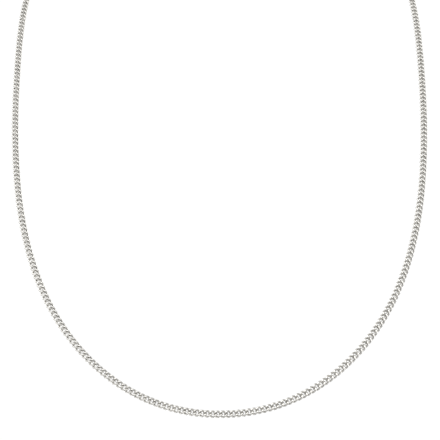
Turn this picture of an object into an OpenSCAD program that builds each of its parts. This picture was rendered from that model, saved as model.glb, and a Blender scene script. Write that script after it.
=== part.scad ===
// Curb chain necklace, fastened and hanging as it is worn.
// Millimetres, +Z up. The wearer looks along -Y, and +X is at the wearer's left hand.
// The origin is the place at the nape where the fastened loop rests on the neck.
// The chain is drawn as one flat tube of the chain's own width and thickness.
// Its first and last links are drawn open, because the rings of the clasp hang in them.

/* [Loop] */
// Width between the two outermost points that the loop is drawn towards
loop_w = 109; // [98:1:120]
// How far the front of the loop hangs ahead of the nape
loop_reach = 119; // [108:1:130]
// How far the front of the loop hangs below the nape
loop_drop = 116; // [104:1:128]

/* [Chain] */
// Width of the chain across its flat faces
chain_w = 2; // [1.8:0.05:2.3]
// Thickness of the chain from one flat face to the other
chain_t = 1; // [0.8:0.05:1.2]
// Wire that the links are bent from
link_wire = 0.54; // [0.46:0.02:0.58]
// Turn that each link is given between its two ends, degrees
link_twist = 110; // [100:1:116]

/* [Rings] */
// Mean diameter of the jump ring
jump_ring_d = 3; // [2.8:0.1:4]
// Mean diameter of the end ring that the clasp closes on
end_ring_d = 3.4; // [3.2:0.1:4.4]
// Wire of both rings
ring_wire = 0.5; // [0.4:0.02:0.54]
// Lean of both rings from the chain's face, near square to the end links and to the clasp, degrees
ring_lean = 60; // [55:1:67]

/* [Clasp] */
// Mean diameter of the clasp's round body
clasp_d = 4.6; // [4.2:0.1:6]
// Thickness of the tube that the body is bent from
clasp_tube = 1.1; // [0.9:0.05:1.3]
// Mean diameter of the eye that is soldered to the body
eye_d = 2; // [1.9:0.1:3]
// Wire of the eye
eye_wire = 0.5; // [0.4:0.05:0.7]
// Depth to which the eye is soldered into the body
solder_depth = 0.25; // [0.15:0.05:0.35]
// Thickness of the thumb tab
tab_d = 0.7; // [0.5:0.05:0.9]
// Height of the thumb tab over the body
tab_h = 0.9; // [0.6:0.1:1.5]
// Place of the thumb tab round the body, degrees up from the eye's side
tab_angle = 60; // [45:5:120]

/* [Fit] */
// Gap between two rings that hang in each other, where they come nearest in line
hang_gap = 0.15; // [0.12:0.01:0.16]

/* [Hidden] */
silver = "silver";

// The links are twisted to the left. Their two ends lean to opposite sides of the chain's
// faces, by half of the twist each.
link_lean = link_twist / 2;
end_link_d = chain_w - link_wire;

// Distance between the middles of two rings that hang in each other and pull apart.
function hang(d_a, wire_a, d_b, wire_b) =
    (d_a + d_b) / 2 - (wire_a + wire_b) / 2 - hang_gap;

// Everything at the nape hangs in one line along X. These are the steps from one end link,
// which the jump ring hangs in, to the other, which the end ring hangs in.
step_jump_ring = hang(end_link_d, link_wire, jump_ring_d, ring_wire);
step_eye = hang(jump_ring_d, ring_wire, eye_d, eye_wire);
step_body = (clasp_d + clasp_tube + eye_d + eye_wire) / 2 - solder_depth;
step_end_ring = hang(clasp_d, clasp_tube, end_ring_d, ring_wire);
step_end_link = hang(end_ring_d, ring_wire, end_link_d, link_wire);

jump_link_x = -(step_jump_ring + step_eye + step_body + step_end_ring + step_end_link) / 2;
jump_ring_x = jump_link_x + step_jump_ring;
eye_x = jump_ring_x + step_eye;
body_x = eye_x + step_body;
end_ring_x = body_x + step_end_ring;
end_link_x = end_ring_x + step_end_link;

// The rings lie on the neck, and the rest of the line is at their middle height.
ring_reach = max(jump_ring_d, end_ring_d) / 2 * sin(ring_lean) + ring_wire / 2;

// Points that the chain is drawn towards, from beside the nape round the wearer's left to the
// front. Each row is across, back, up, then the way that the chain's face looks in degrees:
// round the neck (0 is forward, 90 is outward, 180 is back) and upward.
LOOP_POINTS = [
    [21, 1, -0.5, 165, 18],
    [38, -6.5, -4.5, 120, 40],
    [51, -20.5, -12, 60, 55],
    [54.5, -37, -25, -8, 48],
    [54.5, -55, -42.5, 0, 44],
    [54, -68, -55.5, 0, 43],
    [51.5, -85, -74, 0, 42],
    [44, -101.5, -92.5, 0, 41],
    [30.5, -113, -106.5, 0, 40],
    [15, -118, -114, 0, 40],
    [0, -119, -116, 0, 40],
];
// Rings of the tube along the whole chain
tube_rings = 80;
// Part of a span over which the curve's direction is taken
direction_step = 0.01;
// Shape of the tube's section, as shares of half the chain's width and half its thickness
SECTION = [[1, 0.45], [0.6, 1], [-0.6, 1], [-1, 0.45], [-1, -0.45], [-0.6, -1], [0.6, -1], [1, -0.45]];

// The points are stretched to the size of the loop. The first row is the outer edge of an end link.
front = LOOP_POINTS[len(LOOP_POINTS) - 1];
stretch_w = loop_w / 2 / max([for (row = LOOP_POINTS) row[0]]);
stretch_reach = loop_reach / -front[1];
stretch_drop = loop_drop / -front[2];
one_side = concat(
    [[end_link_x + end_link_d / 2, ring_reach, 0, 180, 0]],
    [for (row = LOOP_POINTS)
        [row[0] * stretch_w, row[1] * stretch_reach, row[2] * stretch_drop, row[3], row[4]]]
);

// The same row on the other side of the neck.
function other_side(row) = [-row[0], row[1], row[2], -row[3], row[4]];

both_sides = concat(one_side, [for (i = [len(one_side) - 2:-1:0]) other_side(one_side[i])]);
// One more row before and after makes the curve start and end on the end links.
first = both_sides[0];
final = both_sides[len(both_sides) - 1];
rows = concat(
    [2 * first - both_sides[1]], both_sides, [2 * final - both_sides[len(both_sides) - 2]]
);
spans = len(rows) - 3;

// Smooth curve (a uniform cubic B-spline) at u spans from its start.
function on_curve(u) =
    let (i = min(floor(u), spans - 1), t = u - i)
    ((1 - t) ^ 3 * rows[i] + (3 * t ^ 3 - 6 * t ^ 2 + 4) * rows[i + 1]
    + (-3 * t ^ 3 + 3 * t ^ 2 + 3 * t + 1) * rows[i + 2] + t ^ 3 * rows[i + 3]) / 6;

function place(row) = [row[0], row[1], row[2]];
function unit(v) = v / norm(v);

// Way that the chain's face looks, from its two angles.
function face_way(row) =
    [sin(row[3]) * cos(row[4]), -cos(row[3]) * cos(row[4]), sin(row[4])];

// One ring of the tube's points, square to the chain and with its flats along the face.
function tube_ring(u) =
    let (
        here = on_curve(u),
        after = on_curve(min(u + direction_step, spans)),
        before = on_curve(max(u - direction_step, 0)),
        ahead = unit(place(after) - place(before)),
        face = unit(face_way(here) - (face_way(here) * ahead) * ahead),
        side = cross(ahead, face)
    )
    [for (s = SECTION) place(here) + s[0] * chain_w / 2 * side + s[1] * chain_t / 2 * face];

tube_points = [for (k = [0:tube_rings]) each tube_ring(k * spans / tube_rings)];
sides = len(SECTION);
tube_faces = [
    for (k = [0:tube_rings - 1], j = [0:sides - 1])
        let (a = k * sides + j, b = k * sides + (j + 1) % sides)
        each [[a, b, b + sides], [a, b + sides, a + sides]]
];
tube_caps = [[for (j = [sides - 1:-1:0]) j], [for (j = [0:sides - 1]) tube_rings * sides + j]];

// Round ring whose middle is at x on the line at the nape.
// At a lean of 0 it lies in the chain's face, and the lean turns it about that line.
module round_ring(x, d, wire, lean) {
    translate([x, ring_reach, 0])
        rotate([90 + lean, 0, 0])
            rotate_extrude($fn = 64)
                translate([d / 2, 0])
                    circle(d = wire, $fn = 24);
}

// The whole chain, with its two open end links
module chain() {
    color(silver) {
        polyhedron(tube_points, concat(tube_faces, tube_caps));
        round_ring(jump_link_x, end_link_d, link_wire, -link_lean);
        round_ring(end_link_x, end_link_d, link_wire, link_lean);
    }
}

// Round clasp with its eye and thumb tab, one plain piece
module clasp() {
    color(silver) {
        round_ring(body_x, clasp_d, clasp_tube, 0);
        round_ring(eye_x, eye_d, eye_wire, 0);
        translate([body_x, ring_reach, 0])
            rotate([0, tab_angle - 90, 0])
                translate([0, 0, clasp_d / 2])
                    cylinder(d = tab_d, h = clasp_tube / 2 + tab_h, $fn = 32);
    }
}

// Ring that joins the clasp's eye to its end link
module jump_ring() {
    color(silver) round_ring(jump_ring_x, jump_ring_d, ring_wire, ring_lean);
}

// Ring in the other end link, which the clasp closes on
module end_ring() {
    color(silver) round_ring(end_ring_x, end_ring_d, ring_wire, -ring_lean);
}

chain();
clasp();
jump_ring();
end_ring();
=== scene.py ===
# %% [markdown]
# # A fine curb chain necklace
# The necklace hangs fastened, as it is worn. The frame that is loaded here holds its construction:
# the chain as one flat tube, a round clasp, a jump ring and an end ring.
# In this lesson the tube gives way to the real links, every piece gets its silver, and the whole
# is lit like a piece of jewellery in a white studio.
# Blender counts in metres, so lengths are written in millimetres and multiplied by MM.

import bpy
import numpy as np
from mathutils import Matrix, Vector


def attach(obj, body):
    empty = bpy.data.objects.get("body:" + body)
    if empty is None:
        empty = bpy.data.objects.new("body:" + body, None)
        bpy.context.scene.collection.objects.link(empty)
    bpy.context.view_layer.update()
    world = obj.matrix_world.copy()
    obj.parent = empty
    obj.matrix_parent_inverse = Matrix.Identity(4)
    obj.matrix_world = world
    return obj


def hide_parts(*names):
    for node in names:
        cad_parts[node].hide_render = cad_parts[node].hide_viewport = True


MM = 0.001

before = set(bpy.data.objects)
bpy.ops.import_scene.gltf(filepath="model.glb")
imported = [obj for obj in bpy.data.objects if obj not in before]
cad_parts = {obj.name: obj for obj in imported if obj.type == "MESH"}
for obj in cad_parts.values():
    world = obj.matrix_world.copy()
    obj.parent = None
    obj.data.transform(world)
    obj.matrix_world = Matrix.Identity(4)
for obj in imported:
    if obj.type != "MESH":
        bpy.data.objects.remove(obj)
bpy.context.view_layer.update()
print("nodes:", sorted(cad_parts))

# %% [markdown]
# ## The camera
# A product photograph of a necklace is taken with a long lens from nearly straight ahead, so that
# the loop isn't distorted. This one looks down by 12 degrees, and its frame cuts the nape off.
# A camera can be aimed with a constraint, but here its axes are known, so they are
# written into its matrix: right, up, and back, which is the way opposite to its view.

# %% Place the camera
LOWEST_POINT = np.array([0.02, -118.67, -115.33])  # front of the loop, mm
VIEW_DOWN = np.radians(12)
CAMERA_ROLL = np.radians(-0.29)
DISTANCE = 444.1  # from the lens to the front of the loop along the view, mm
ABOVE_FRONT = 47.15  # the middle of the picture above the front of the loop, mm
PICTURE_PX = 440
FOCAL_PX = 1830
LENS = 100  # mm
CLIP = 0.01, 100  # nearest and furthest that the camera sees, m

ahead = np.array([0, np.cos(VIEW_DOWN), -np.sin(VIEW_DOWN)])
level_up = np.array([0, np.sin(VIEW_DOWN), np.cos(VIEW_DOWN)])
level_right = np.array([1.0, 0, 0])
right = level_right * np.cos(CAMERA_ROLL) + level_up * np.sin(CAMERA_ROLL)
up = level_up * np.cos(CAMERA_ROLL) - level_right * np.sin(CAMERA_ROLL)
lens_place = (LOWEST_POINT - ahead * DISTANCE + level_up * ABOVE_FRONT) * MM

camera_data = bpy.data.cameras.new("photo_camera")
camera_data.lens = LENS
camera_data.sensor_width = LENS * PICTURE_PX / FOCAL_PX
camera_data.clip_start, camera_data.clip_end = CLIP
camera = bpy.data.objects.new("photo_camera", camera_data)
bpy.context.scene.collection.objects.link(camera)
camera.matrix_world = Matrix.Translation(Vector(lens_place)) @ Matrix(
    np.column_stack([right, up, -ahead]).tolist()
).to_4x4()
bpy.context.scene.camera = camera
print("camera at", [round(float(v), 3) for v in lens_place], "m")

# %% [markdown]
# ## The way of the chain
# A worn chain has one smooth line: level at the nape, down the slopes of the neck, and round in
# a curve at the front. It could be drawn as a Bezier curve object, but the links need its
# place, its direction and the way its flat faces look at any length, so it is worked out
# as arrays. These are the same few points that the construction is drawn from. Each row is across,
# back and up in millimetres, then the way the face looks in degrees: round the neck (0 is forward,
# 90 outward, 180 back), and upward. The first row is the outer edge of an end link.

# %% Points of the route
ROUTE = np.array([
    [6.765, 1.722, 0, 180, 0],
    [21, 1, -0.5, 165, 18],
    [38, -6.5, -4.5, 120, 40],
    [51, -20.5, -12, 60, 55],
    [54.5, -37, -25, -8, 48],
    [54.5, -55, -42.5, 0, 44],
    [54, -68, -55.5, 0, 43],
    [51.5, -85, -74, 0, 42],
    [44, -101.5, -92.5, 0, 41],
    [30.5, -113, -106.5, 0, 40],
    [15, -118, -114, 0, 40],
    [0, -119, -116, 0, 40],
])
OTHER_SIDE = np.array([-1, 1, 1, -1, 1])

both_sides = np.vstack([ROUTE, ROUTE[-2::-1] * OTHER_SIDE])
print("route rows:", len(both_sides))

# %% [markdown]
# ## How each side settles
# The construction's tube is even on both sides, and a worn chain never is: on the skin, each side
# settles with a turn of its own. The tube could be turned too, but its place is all that it has
# to give, so only the links are turned a few degrees further, row by row.

# %% Let each side settle
SHOULDER_ROW = 4  # row of the route at which the turned stretch starts
# degrees that the faces have turned round the neck, from that row to the last before the front
SETTLED_LEFT = [-4, -8, -8, -8, -5, -3, 0]
SETTLED_RIGHT = [24, 24, 22, 20, 18, 14, 8]

settled_rows = slice(SHOULDER_ROW, SHOULDER_ROW + len(SETTLED_LEFT))
both_sides[settled_rows, 3] += SETTLED_LEFT
both_sides[::-1][settled_rows, 3] += SETTLED_RIGHT
print("most turned:", max(SETTLED_RIGHT, key=abs), "degrees")


# %% Smooth curve through the route
def smooth_curve(rows, per_span=60):
    """Uniform cubic B-spline: each point is a weighted mean of four rows in turn, and the weights
    (1-t)^3, 3t^3-6t^2+4, -3t^3+3t^2+3t+1 and t^3, all over 6, slide on as t goes from 0 to 1."""
    rows = np.vstack([2 * rows[0] - rows[1], rows, 2 * rows[-1] - rows[-2]])
    t = np.arange(per_span) / per_span
    weights = np.stack([
        (1 - t) ** 3, 3 * t**3 - 6 * t**2 + 4, -3 * t**3 + 3 * t**2 + 3 * t + 1, t**3,
    ], -1) / 6
    spans = len(rows) - 3
    curve = np.concatenate([weights @ rows[i:i + 4] for i in range(spans)])
    return np.vstack([curve, rows[-2]])


def unit(v):
    """Vectors divided by their own lengths."""
    return v / np.linalg.norm(v, axis=-1, keepdims=True)


LEAD = 2.0  # level stretch along X before and after the curve, where the end links lie, mm

curve = smooth_curve(both_sides)
lead_row = np.array([LEAD, 0, 0, 0, 0])
curve = np.vstack([curve[0] - lead_row, curve, curve[-1] + lead_row])
places = curve[:, :3]
along = np.append(0, np.cumsum(np.linalg.norm(np.diff(places, axis=0), axis=1)))
directions = unit(np.gradient(places, along, axis=0))
round_neck, upward = np.radians(curve[:, 3]), np.radians(curve[:, 4])
faces = np.stack([
    np.sin(round_neck) * np.cos(upward), -np.cos(round_neck) * np.cos(upward), np.sin(upward),
], -1)
faces = unit(faces - (faces * directions).sum(1, keepdims=True) * directions)
print("length of the line:", round(along[-1], 1), "mm")

# %% [markdown]
# ## One curb link
# A curb link starts as an oval ring of round wire. It is gripped at both ends and twisted by rather
# more than a quarter turn, so that the links of the finished chain lie flat on each other, and the
# tops of the wire are then filed down a little. It could be modelled as a torus with a Twist
# modifier; a formula is shorter and takes the tops off too. The oval's middle line runs round
# with one angle and the wire's skin with another, and the twist turns every point about the chain's
# line by an amount that grows along the link.

# %% Surface of a link
PITCH = 1.27  # from one link to the next, mm
CHAIN_WIDTH = 2.0
WIRE = 0.54
HALF_LENGTH = 0.93  # of the oval's middle line, mm
HALF_WIDTH = (CHAIN_WIDTH - WIRE) / 2
TWIST = np.radians(-110)  # negative twists to the left
FILED_AT = 0.5  # height over the chain's middle to which the wire's tops are filed, mm
SECTIONS = 14  # of the wire, round the oval
WIRE_SIDES = 6
TANGENT_STEP = 1e-3  # angle to each side over which the wire's direction is taken


def middle_line(u):
    """Oval wire line at angles u, twisted: along = a cos u, out from the chain's line = b sin u,
    turned about that line by half the twist at each end and not at all at the middle.
    Columns are along the chain, across its face, and off its face."""
    x, out = HALF_LENGTH * np.cos(u), HALF_WIDTH * np.sin(u)
    lean = TWIST / 2 * x / HALF_LENGTH
    return np.stack([x, out * np.cos(lean), out * np.sin(lean)], -1)


def link_surface():
    """Skin of the wire: middle line + radius (cos v outward + sin v sideways), where outward
    points away from the link's middle and sideways is square to it and to the wire. Heights off
    the face are cut at FILED_AT. Gives points of shape (SECTIONS, WIRE_SIDES, 3) and the cos v
    of each, which is 1 on the outside of the link and -1 on its inside."""
    u = (np.arange(SECTIONS) + 0.5) * 2 * np.pi / SECTIONS
    v = np.arange(WIRE_SIDES) * 2 * np.pi / WIRE_SIDES
    line = middle_line(u)
    tangent = unit(middle_line(u + TANGENT_STEP) - middle_line(u - TANGENT_STEP))
    outward = unit(line)
    outward = unit(outward - (outward * tangent).sum(1, keepdims=True) * tangent)
    sideways = np.cross(tangent, outward)
    skin = line[:, None] + WIRE / 2 * (
        np.cos(v)[None, :, None] * outward[:, None] + np.sin(v)[None, :, None] * sideways[:, None]
    )
    skin[..., 2] = np.clip(skin[..., 2], -FILED_AT, FILED_AT)
    return skin, np.broadcast_to(np.cos(v), skin.shape[:2])


def closed_grid():
    """Four-cornered faces of the link's grid of points, which joins up in both directions."""
    i, j = np.meshgrid(np.arange(SECTIONS), np.arange(WIRE_SIDES), indexing="ij")
    i2, j2 = (i + 1) % SECTIONS, (j + 1) % WIRE_SIDES
    corners = np.stack([
        i * WIRE_SIDES + j, i * WIRE_SIDES + j2, i2 * WIRE_SIDES + j2, i2 * WIRE_SIDES + j,
    ], -1)
    return corners.reshape(-1, 4)


skin, outwardness = link_surface()
link_quads = closed_grid()
print("one link:", len(link_quads), "faces, thickness", round(2 * skin[..., 2].max(), 2), "mm")

# %% [markdown]
# ## The whole chain
# About 350 links lie along the line, one pitch apart. An Array modifier on a curve would bend
# a straight chain to it, but it can't turn the faces as a worn chain turns, so each point of each
# link is carried to its own length along the line and set out from there along the chain's two
# cross directions. All links come out of one broadcast, and one mesh holds them. Each link also
# sways a little about the chain's line, as loose links do.

# %% Space the links
END_LINK_D = 1.46  # mean diameter of the end links in the construction, mm

chain_start = LEAD - END_LINK_D
line_length = along[-1] - 2 * chain_start
count = int(round((line_length - 2 * HALF_LENGTH) / PITCH)) + 1
step = (line_length - 2 * HALF_LENGTH) / (count - 1)
middles = chain_start + HALF_LENGTH + step * np.arange(count)
print("links:", count, "pitch", round(step, 4), "mm")

# %% Carry the links along the line
SWAY = 2.0  # usual turn of a link to either side, degrees

points = skin.reshape(-1, 3)
rng = np.random.default_rng(7)
lengths_along = middles[:, None] + points[:, 0]


def at_length(s, table):
    """Rows of a table at lengths s, by straight interpolation of each column."""
    return np.stack([np.interp(s, along, table[:, k]) for k in range(table.shape[1])], -1)


place_here = at_length(lengths_along, places)
ahead_here = unit(at_length(lengths_along, directions))
face_here = unit(at_length(lengths_along, faces))
side_here = np.cross(face_here, ahead_here)
sway = np.radians(rng.normal(0, SWAY, count))[:, None]
across_face = points[:, 1] * np.cos(sway) - points[:, 2] * np.sin(sway)
off_face = points[:, 1] * np.sin(sway) + points[:, 2] * np.cos(sway)
chain_points = place_here + across_face[..., None] * side_here + off_face[..., None] * face_here
print("points of the chain:", chain_points.shape)


# %% Make a mesh from arrays
def make_mesh(name, vertices, quads, smooth):
    """New object at the origin whose mesh has these vertices (metres) and four-cornered faces,
    all smooth or all flat."""
    mesh = bpy.data.meshes.new(name)
    mesh.vertices.add(len(vertices))
    mesh.vertices.foreach_set("co", vertices.ravel())
    mesh.loops.add(quads.size)
    mesh.loops.foreach_set("vertex_index", quads.ravel())
    mesh.polygons.add(len(quads))
    mesh.polygons.foreach_set("loop_start", np.arange(len(quads)) * 4)
    mesh.polygons.foreach_set("use_smooth", np.full(len(quads), smooth))
    mesh.update(calc_edges=True)
    mesh.validate()
    made = bpy.data.objects.new(name, mesh)
    bpy.context.scene.collection.objects.link(made)
    return made


link_starts = len(points) * np.arange(count)
chain_quads = (link_quads[None] + link_starts[:, None, None]).reshape(-1, 4)
chain_links = make_mesh("chain_links", chain_points.reshape(-1, 3) * MM, chain_quads, True)
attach(chain_links, "root")
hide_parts("chain")
print("faces:", len(chain_quads))

# %% [markdown]
# ## Silver
# Both finishes are sterling silver, a nearly white metal that is very slightly warm. Its look is
# almost all reflection, so the materials need little colour and much surface. A picture could hold
# the marks and the tarnish, but here noise in the metal's own place draws them, so that they
# look the same from every side and at every distance.


# %% Helpers for materials
def linear(hex_colour):
    """Linear red, green, blue and 1 of an sRGB hex colour: v/12.92 for dark values, else
    ((v + 0.055) / 1.055)^2.4."""
    srgb = np.array([int(hex_colour[i:i + 2], 16) for i in (1, 3, 5)]) / 255
    low, high = srgb / 12.92, ((srgb + 0.055) / 1.055) ** 2.4
    return [*np.where(srgb <= 0.04045, low, high).tolist(), 1.0]


def add_node(tree, kind, settings=None, **inputs):
    """Adds a node. Settings go to its properties. Each input, named in snake case or as
    in_0, in_1 by its place, takes a value or the output socket that feeds it."""
    node = tree.nodes.new(kind)
    for name, value in (settings or {}).items():
        setattr(node, name, value)
    for name, value in inputs.items():
        key = int(name[3:]) if name.startswith("in_") else name.replace("_", " ").title()
        socket = node.inputs[key]
        if isinstance(value, bpy.types.NodeSocket):
            tree.links.new(value, socket)
        else:
            socket.default_value = value
    return node


def new_material(name):
    """Empty node material with its tree."""
    material = bpy.data.materials.new(name)
    material.use_nodes = True
    material.node_tree.nodes.clear()
    return material, material.node_tree


# %% Noise in the metal's own place
PER_MM = 1000.0  # Object coordinates are metres, so this makes a scale count per millimetre


def noise_on(tree, per_mm, detail):
    """Output of a noise pattern with per_mm grains to a millimetre of the piece."""
    where = add_node(tree, "ShaderNodeTexCoord").outputs["Object"]
    noise = add_node(
        tree, "ShaderNodeTexNoise", vector=where, scale=per_mm * PER_MM, detail=detail,
    )
    return noise.outputs["Fac"]


# %% Polished metal from its colour and its marks
SILVER = "#E9E7E2"
MARKS_FROM, MARKS_TO = 0.3, 0.7  # range of the noise in which the marks grow from none to full
MARK_DEPTH = 0.01  # mm


def polish(tree, dulled, dull_colour, marks, clean, worn, relief):
    """Surface of polished silver: its colour goes to dull_colour as dulled goes from 0 to 1, its
    roughness from clean to worn along the marks, and the marks stand out by relief."""
    colour = add_node(
        tree, "ShaderNodeMix", {"data_type": "RGBA"},
        in_0=dulled, in_6=linear(SILVER), in_7=linear(dull_colour),
    )
    roughness = add_node(
        tree, "ShaderNodeMapRange",
        in_0=marks, in_1=MARKS_FROM, in_2=MARKS_TO, in_3=clean, in_4=worn,
    )
    bump = add_node(
        tree, "ShaderNodeBump", strength=relief, distance=MARK_DEPTH * MM, height=marks,
    )
    shader = add_node(
        tree, "ShaderNodeBsdfPrincipled", metallic=1.0, base_color=colour.outputs[2],
        roughness=roughness.outputs[0], normal=bump.outputs[0],
    )
    add_node(tree, "ShaderNodeOutputMaterial", surface=shader.outputs[0])


# %% [markdown]
# ## Tumbled silver of the links
# The links are drawn silver wire, bent, soldered and twisted, and the whole chain is then
# tumbled with steel shot until it shines. Shot leaves no lines as a polishing wheel does, but a
# close skin of tiny dents, so the eye sees bright reflections with soft edges. The insides of
# the links, where no shot or cloth reaches, keep a thin grey tarnish. An attribute says for each
# point how far it looks towards the middle of its link, and patches of noise thin the tarnish out.

# %% Tumbled silver
TARNISH = "#77746D"
# a shot dent is about 0.02 mm across, too fine to show, so it is drawn about 0.1 mm across
DENTS_PER_MM = 9
TARNISH_PER_MM = 0.6  # a patch is about as long as a link

tumbled_silver, tree = new_material("polished_sterling_silver")
inside = add_node(tree, "ShaderNodeAttribute", {"attribute_name": "between_links"})
dulled = add_node(
    tree, "ShaderNodeMath", {"operation": "MULTIPLY"},
    in_0=inside.outputs["Fac"], in_1=noise_on(tree, TARNISH_PER_MM, detail=2.0),
)
dents = noise_on(tree, DENTS_PER_MM, detail=3.0)
polish(tree, dulled.outputs[0], TARNISH, dents, clean=0.28, worn=0.32, relief=0.15)

between_links = np.clip(-outwardness, 0, 1).reshape(-1)
attribute = chain_links.data.attributes.new("between_links", "FLOAT", "POINT")
attribute.data.foreach_set("value", np.tile(between_links, count).astype(np.float32))
chain_links.data.materials.append(tumbled_silver)
print("material:", tumbled_silver.name)

# %% [markdown]
# ## Buffed silver of the clasp and its rings
# A clasp is bent from silver tube and its rings from wire, and each is buffed on a soft wheel
# before the chain is put together. A wheel gives a closer polish than shot does, so the eye sees
# sharper reflections, with a faint haze where fingers have held the clasp.

# %% Buffed silver
HAZE = "#D6D2CA"
# a wheel's scratch is about 0.01 mm wide, too fine to show, so it is drawn about 0.2 mm wide
SCRATCHES_PER_MM = 6
HAZE_PER_MM = 0.8  # a patch is about as wide as the clasp's tube

buffed_silver, tree = new_material("polished_clasp_silver")
haze = noise_on(tree, HAZE_PER_MM, detail=2.0)
scratches = noise_on(tree, SCRATCHES_PER_MM, detail=4.0)
polish(tree, haze, HAZE, scratches, clean=0.1, worn=0.22, relief=0.1)
for name in ("clasp", "jump_ring", "end_ring"):
    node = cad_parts[name]
    node.data.materials.clear()
    node.data.materials.append(buffed_silver)
print("material:", buffed_silver.name, "on clasp, jump_ring and end_ring")

# %% [markdown]
# ## The studio
# The photograph's ground is pure white, with no shadow, so the floor here is a white table that
# glows a little, far below the necklace. Polished silver shows nothing but its surroundings, so
# those matter more than any lamp. A jeweller's photographer stands soft boxes round the piece, the
# brightest above the lens and at the right, and leaves the lens's own side dim. Each link then
# gets white flanks and dark strokes. Area lights could stand for the boxes, but they would hide
# the necklace in other views, so the world itself holds them: each box is a soft spot of light in
# one direction of the sky.

# %% Floor
FLOOR_Z = -0.25  # m
FLOOR_HALF = 6.0  # m
WHITE = 1.05  # brightness of the ground, just past what the picture can show

corner = np.array([[-1, -1], [1, -1], [1, 1], [-1, 1]]) * FLOOR_HALF
floor = make_mesh(
    "floor", np.column_stack([corner, np.full(4, FLOOR_Z)]), np.array([[0, 1, 2, 3]]), False,
)
paper, tree = new_material("white_light_table")
glow = add_node(tree, "ShaderNodeEmission", color=(1, 1, 1, 1), strength=WHITE)
add_node(tree, "ShaderNodeOutputMaterial", surface=glow.outputs[0])
floor.data.materials.append(paper)
floor.visible_glossy = False
floor.visible_diffuse = False
floor.visible_shadow = False
print("floor at", FLOOR_Z, "m")

# %% Soft boxes in the sky
SPOT_POWER = 12.0  # of the cosine off a box's middle: half as bright 19 degrees off it
# right, up and towards the lens as seen in the photograph, then brightness (1 is white paper)
SOFT_BOXES = [
    (3, 8, 5, 2.1),
    (-3, 8, 5, 2.6),
    (-3, 8, -5, 1.0),
    (10, 0, 0, 3.1),
    (5, 3, -8, 1.2),
    (-8, 5, -3, 2.1),
    (-8, -5, 3, 1.4),
    (-8, -5, -3, 1.0),
    (3, -8, 5, 1.6),
    (0, -5, -9, 2.2),
]
ROOM = 0.2  # brightness of the rest of the studio

world = bpy.data.worlds.new("studio")
bpy.context.scene.world = world
world.use_nodes = True
sky = world.node_tree
ray = add_node(sky, "ShaderNodeTexCoord").outputs["Generated"]
light = ROOM
for to_right, to_up, to_lens, brightness in SOFT_BOXES:
    middle = unit(to_right * level_right + to_up * level_up - to_lens * ahead)
    facing = add_node(
        sky, "ShaderNodeVectorMath", {"operation": "DOT_PRODUCT"}, in_0=ray, in_1=middle.tolist(),
    ).outputs["Value"]
    toward = add_node(
        sky, "ShaderNodeMath", {"operation": "MAXIMUM"}, in_0=facing, in_1=0.0,
    ).outputs[0]
    spot = add_node(
        sky, "ShaderNodeMath", {"operation": "POWER"}, in_0=toward, in_1=SPOT_POWER,
    ).outputs[0]
    light = add_node(
        sky, "ShaderNodeMath", {"operation": "MULTIPLY_ADD"},
        in_0=spot, in_1=brightness, in_2=light,
    ).outputs[0]
print("soft boxes:", len(SOFT_BOXES))

# %% Join the sky to the ground
# the camera sees plain white past the floor's edge, and the silver sees the boxes
seen = add_node(sky, "ShaderNodeLightPath").outputs["Is Camera Ray"]
light = add_node(
    sky, "ShaderNodeMix", {"data_type": "FLOAT"}, in_0=seen, in_2=light, in_3=WHITE,
).outputs[0]
background = sky.nodes["Background"]
background.inputs["Color"].default_value = (1, 1, 1, 1)
sky.links.new(light, background.inputs["Strength"])
bpy.context.scene.view_settings.view_transform = "Standard"
print("nodes of the sky:", len(sky.nodes))
